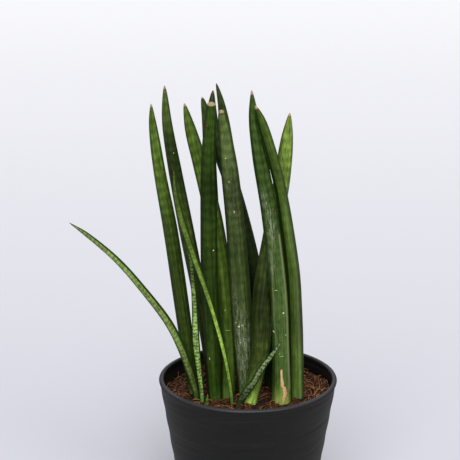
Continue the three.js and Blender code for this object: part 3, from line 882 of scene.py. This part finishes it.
pot = {
    "height": 150, "rimRadius": 85, "baseRadius": 60.5, "baseRings": (20, 40), "footRound": 2.5,
    "ringFrom": 5, "ringTo": 3, "ringStep": 2.5, "ringCount": 6, "ringDepth": 0.4, "inset": 0.1,
    "wall": 2.6, "wallTop": 6, "wallFoot": 3, "wallSteps": 30, "floor": 3.4, "floorRound": 1.5,
    "floorRing": 30, "segments": 192, "drainHoles": 6, "drainRadius": 4.5, "drainCircle": 36,
    "lip": [  # in from the rim's radius and down from the top, over the lip from outside to inside
        (0.15, 2.8), (0.05, 1.9), (0.5, 1.0), (1.4, 0.4), (2.4, 0.15),
        (3.1, 0), (3.8, 0.1), (4.3, 0.6), (4.6, 1.4), (4.7, 3),
    ],
}
plastic = {
    "grain": (1, 1, 2600, 2, 0.6), "cloud": (1, 3.5, 22), "wave": (5, 62, 1, 2, 0.5, 0.4),
    "dust": (1, 6, 60, 5, 0.7), "dustEdges": (0.52, 0.8), "dustShare": 0.2,
    # Painted highlight: rimHighlightFrom and rimHighlightTo mark where the top of the rim is painted
    # lighter.
    "rimHighlightShare": 0.8, "rimHighlightFrom": 2.2, "rimHighlightTo": 0.4,  # mm below the top
    "dark": "0b0b0c", "light": "131314", "dustTint": "3c3c40", "rimHighlightTint": "38383c",
    "waveDepth": 0.0045, "grainBump": 0.25, "grainDepth": 0.0003, "rough": (0.15, 0.42), "shine": 0.4,
}


def wallRadius(z):
    return pot["baseRadius"] + (pot["rimRadius"] - pot["baseRadius"]) * z / pot["height"]


def potProfile():  # (radius, z) from the middle of the base, up the outside, to the inside floor
    profile = [(0, 0), *((radius, 0) for radius in pot["baseRings"])]
    for turn in range(0, 91, 15):
        angle = math.radians(turn)
        profile.append((
            pot["baseRadius"] - pot["footRound"] * (1 - math.sin(angle)),
            pot["footRound"] * (1 - math.cos(angle)),
        ))
    pitch = (pot["height"] - pot["ringFrom"]) / pot["ringCount"]
    for z in np.arange(pot["ringFrom"], pot["height"] - pot["ringTo"], pot["ringStep"]):
        swell = pot["ringDepth"] * (math.cos(2 * math.pi * z / pitch + math.pi) - 1) / 2
        profile.append((wallRadius(z) + swell - pot["inset"], z))
    profile += [(pot["rimRadius"] - inward, pot["height"] - down) for inward, down in pot["lip"]]
    for z in np.linspace(pot["height"] - pot["wallTop"], pot["floor"] + pot["wallFoot"], pot["wallSteps"]):
        profile.append((wallRadius(z) - pot["wall"], z))
    floorRadius = wallRadius(pot["floor"]) - pot["wall"] - pot["floorRound"]
    profile += [(radius, pot["floor"]) for radius in (floorRadius, pot["floorRing"], 0)]
    return profile


def potMaterial():
    material, nodes, shader = newMaterial("charcoalPlastic")
    where = nodes.place()
    grain, cloud, wave, dust = (
        nodes.layer(where, *plastic[name]) for name in ("grain", "cloud", "wave", "dust")
    )
    dusty = nodes.ramp(dust, *plastic["dustEdges"])
    # Painted highlight: a lighter ring is painted round the top of the rim, from these heights up.
    rimHighlightFrom, rimHighlightTo = ((pot["height"] - plastic[key]) * mm for key in ("rimHighlightFrom", "rimHighlightTo"))
    rimHighlight = nodes.ramp(nodes.split(where)[2], rimHighlightFrom, rimHighlightTo)
    tint = nodes.mix(cloud, colour(plastic["dark"]), colour(plastic["light"]))
    tint = nodes.mix(nodes.times(dusty, plastic["dustShare"]), tint, colour(plastic["dustTint"]))
    tint = nodes.mix(nodes.times(rimHighlight, plastic["rimHighlightShare"]), tint, colour(plastic["rimHighlightTint"]))
    waves = nodes.bump(wave, 1.0, plastic["waveDepth"])
    relief = nodes.plus(grain, nodes.times(cloud, 2.0))
    nodes.fill(shader, {
        "Base Color": tint,
        "Roughness": nodes.scaled(cloud, *plastic["rough"]),
        "Normal": nodes.bump(relief, plastic["grainBump"], plastic["grainDepth"], Normal=waves),
        "Specular IOR Level": plastic["shine"],
    })
    return material


def makePot():
    profile = potProfile()
    sides = pot["segments"]
    angles = ringAngles(sides)
    circle = np.column_stack([np.cos(angles), np.sin(angles)])
    rings = [np.column_stack([circle * r, np.full(sides, z)]) for r, z in profile[1:-1]]
    points = np.vstack([*rings, [[0, 0, profile[0][1]]], [[0, 0, profile[-1][1]]]]) * mm
    faces = tubeFaces(len(rings), sides, apex=len(points) - 1, base=False)
    faces += [((i + 1) % sides, i, len(points) - 2) for i in range(sides)]
    piece = addMesh("pot_shell", points, faces)
    for angle in ringAngles(pot["drainHoles"]):
        x, y = onCircle(pot["drainCircle"] * mm, angle)
        bpy.ops.mesh.primitive_cylinder_add(
            radius=pot["drainRadius"] * mm, depth=0.02, vertices=32, location=(x, y, 0)
        )
        cutter = bpy.context.active_object
        cut = piece.modifiers.new("drain", "BOOLEAN")
        cut.object = cutter
        cut.operation = "DIFFERENCE"
        bpy.context.view_layer.objects.active = piece
        bpy.ops.object.modifier_apply(modifier="drain")
        bpy.data.objects.remove(cutter)
    piece.data.materials.clear()
    piece.data.materials.append(potMaterial())
    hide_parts("pot")
    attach(piece, "root")


makePot()
print("pot made")


# Soil: a lumpy bed with coir chips and loose fibres on it

soil = {
    "level": 134, "relief": 1.8, "crumb": 1.3, "seed": 21, "gap": 0.35, "rings": 90, "segments": 260,
    "leafGap": 1.0, "bedTone": 0.35,
    "chips": 460, "chipSize": (1.0, 3.8), "chipTilt": 0.25, "chipFlat": (0.35, 0.7), "chipGap": 2,
    "chipLong": (1.0, 1.9), "chipLump": 0.45, "chipRate": 1.6, "chipLift": 0.3,
    "chipSides": 10, "chipRows": 6,
    "fibres": 620, "fibreLength": (7, 24), "fibreThick": (0.16, 0.66), "fibreRise": (0.4, 5.5),
    "fibreBend": 2.2, "fibreGap": 3, "fibreSunk": 0.5, "fibreEnd": 0.35, "fibreDarkest": 0.02,
    "fibrePale": 0.7, "fibreSides": 5, "fibreSteps": 10,
}
coir = {
    "grain": (5, 0.65), "edges": (0.3, 0.7), "shade": "170b05", "shadeShare": 0.6,
    "bump": 0.6, "bumpDepth": 0.0006, "rough": 0.85, "shine": 0.25,
}
coirTints = {  # dark, light and how fine the grain is
    "coirBed": ("120803", "281308", 900),
    "coirChip": ("251006", "5e3116", 500),
    "coirFibre": ("42200f", "a8774a", 400),
}


def soilHeight(x, y):  # mm, with the lumps of the packed soil's top
    lumps = (
        0.5 * math.sin(x * 0.21 + 1.3) * math.cos(y * 0.17)
        + 0.3 * math.sin(x * 0.43 - y * 0.31)
        + 0.2 * math.cos(x * 0.11 + y * 0.52 + 2)
    )
    crumbs = noise.fractal(Vector((x, y, 3.0)) * 0.22, 0.8, 2.1, 5)
    return soil["level"] + soil["relief"] * lumps + soil["crumb"] * crumbs


def coirMaterial(name):
    dark, light, scale = coirTints[name]
    material, nodes, shader = newMaterial(name)
    grain = nodes.noise(nodes.place(), scale, *coir["grain"])
    tint = nodes.mix(nodes.ramp(grain, *coir["edges"]), colour(dark), colour(light))
    shaded = nodes.mix(coir["shadeShare"], tint, colour(coir["shade"]))
    nodes.fill(shader, {
        "Base Color": nodes.mix(nodes.attribute("coirTone"), shaded, tint),
        "Normal": nodes.bump(grain, coir["bump"], coir["bumpDepth"]),
        "Roughness": coir["rough"],
        "Specular IOR Level": coir["shine"],
    })
    return material


def clearOfLeaves(x, y, margin):
    for shape in shapes.values():
        foot = shape.leaf["stations"][0]
        if math.hypot(x - foot[0], y - foot[1]) < foot[3] / 2 + margin:
            return False
    return True


def makeBed():
    sides = soil["segments"]
    low = pot["floor"] + soil["gap"]
    lowRadius = wallRadius(low) - pot["wall"] - soil["gap"] - pot["floorRound"]
    topRadius = wallRadius(soil["level"]) - pot["wall"] - soil["gap"]
    rings = [(lowRadius, low)]
    rings += [(topRadius * (1 - i / soil["rings"]), None) for i in range(soil["rings"])]
    points = []
    for radius, z in rings:
        for angle in ringAngles(sides):
            x, y = onCircle(radius, angle)
            points.append((x, y, soilHeight(x, y) if z is None else z))
    points.append((0, 0, soilHeight(0, 0)))
    piece = addMesh("soil_bed", np.array(points) * mm, tubeFaces(len(rings), sides, apex=len(points) - 1))
    setAttribute(piece, "coirTone", np.full(len(points), soil["bedTone"]))
    piece.data.materials.append(coirMaterial("coirBed"))
    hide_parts("soil")
    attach(piece, "root")


def addCoirPiece(name, points, faces, tones, material):
    piece = addMesh(name, np.array(points) * mm, faces)
    setAttribute(piece, "coirTone", tones)
    piece.data.materials.append(material)
    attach(piece, "root")


def spreadOverSoil(draw, margin):
    reach = wallRadius(soil["level"]) - pot["wall"] - margin
    while True:
        distance = reach * math.sqrt(draw.random())
        x, y = onCircle(distance, draw.uniform(0, 2 * math.pi))
        if clearOfLeaves(x, y, soil["leafGap"]):
            return x, y


def makeChips(draw):
    points, faces, tones = [], [], []
    sides, rows = soil["chipSides"], soil["chipRows"]
    for _ in range(soil["chips"]):
        size = draw.uniform(*soil["chipSize"])
        x, y = spreadOverSoil(draw, soil["chipGap"] + size)
        turn = draw.uniform(0, 2 * math.pi)
        tilt = draw.uniform(-soil["chipTilt"], soil["chipTilt"])
        flat = draw.uniform(*soil["chipFlat"])
        long = draw.uniform(*soil["chipLong"])
        tone = draw.random()
        seed = Vector((draw.uniform(0, 50), draw.uniform(0, 50), 0))
        first = len(points)
        lift = soilHeight(x, y) + size * flat * soil["chipLift"]
        for row in range(rows):
            polar = math.pi * (row + 0.5) / rows
            for azimuth in ringAngles(sides):
                way = Vector((*onCircle(math.sin(polar), azimuth), -math.cos(polar)))
                lump = 1 + soil["chipLump"] * noise.noise(way * soil["chipRate"] + seed)
                p = Vector((way.x * long, way.y, way.z * flat)) * size * lump
                points.append((
                    x + p.x * math.cos(turn) - p.y * math.sin(turn),
                    y + p.x * math.sin(turn) + p.y * math.cos(turn),
                    lift + p.z + tilt * p.x,
                ))
                tones.append(tone)
        faces += tubeFaces(rows, sides, first)
    addCoirPiece("coir_chips", points, faces, tones, coirMaterial("coirChip"))


def makeFibres(draw):
    points, faces, tones = [], [], []
    sides, steps = soil["fibreSides"], soil["fibreSteps"]
    reach = wallRadius(soil["level"]) - pot["wall"] - 1
    for _ in range(soil["fibres"]):
        length = draw.uniform(*soil["fibreLength"])
        x, y = spreadOverSoil(draw, soil["fibreGap"])
        thick = draw.uniform(*soil["fibreThick"])
        heading = draw.uniform(0, 2 * math.pi)
        bend = draw.uniform(-soil["fibreBend"], soil["fibreBend"])
        rise = draw.uniform(*soil["fibreRise"])
        darkest = soil["fibreDarkest"]
        tone = darkest + (1 - darkest) * draw.random() ** soil["fibrePale"]
        path = []
        for step in range(steps + 1):
            t = step / steps
            lift = rise * math.sin(math.pi * t) ** 0.8 - soil["fibreSunk"]
            path.append((x, y, soilHeight(x, y) + lift))
            turn = heading + bend * t
            x += length / steps * math.cos(turn)
            y += length / steps * math.sin(turn)
            over = math.hypot(x, y)
            if over > reach:
                x, y = x * reach / over, y * reach / over
        first = len(points)
        for step, (px, py, pz) in enumerate(path):
            turn = heading + bend * step / steps
            full = math.sin(math.pi * (step + 0.6) / (steps + 1.2))
            narrow = thick * (soil["fibreEnd"] + (1 - soil["fibreEnd"]) * full)
            for angle in ringAngles(sides):
                side, up = onCircle(narrow, angle)
                points.append((px - side * math.sin(turn), py + side * math.cos(turn), pz + up))
                tones.append(tone)
        faces += tubeFaces(steps + 1, sides, first)
    addCoirPiece("coir_fibres", points, faces, tones, coirMaterial("coirFibre"))


makeBed()
draw = random.Random(soil["seed"])
makeChips(draw)
makeFibres(draw)
print("soil made")


# Floor: one pale sheet, with painted light that lightens it towards the back

floor = {  # reach and the stretches of y over which it lightens are in metres
    "reach": 14, "bounce": "a0a0a2", "near": "ceced7", "middle": "e0e0e5", "far": "ededf0",
    "nearToMiddle": (-0.4, 2.0), "middleToFar": (1.2, 4.0), "rough": 0.9, "shine": 0.1,
}


def makeFloor():
    reach = floor["reach"]
    corners = [(-reach, -reach, 0), (reach, -reach, 0), (reach, reach, 0), (-reach, reach, 0)]
    piece = addMesh("floor", corners, [(0, 1, 2, 3)], smooth=False)
    material, nodes, shader = newMaterial("paleFloor")
    back = nodes.split(nodes.place())[1]
    # Painted light: the floor is painted lighter towards the back, standing in for how the studio light
    # falls on it.
    lighter = nodes.ramp(back, *floor["nearToMiddle"])
    tint = nodes.mix(lighter, colour(floor["near"]), colour(floor["middle"]))
    tint = nodes.mix(nodes.ramp(back, *floor["middleToFar"]), tint, colour(floor["far"]))
    seen = nodes.add("ShaderNodeLightPath").outputs["Is Camera Ray"]
    nodes.fill(shader, {
        "Base Color": nodes.mix(seen, colour(floor["bounce"]), tint),
        "Roughness": floor["rough"],
        "Specular IOR Level": floor["shine"],
    })
    piece.data.materials.append(material)


makeFloor()
addWorld()
for name, sun in suns.items():
    addSun(name, **sun)
addCamera()
bpy.context.scene.view_settings.view_transform = "Standard"

print("scene ready")
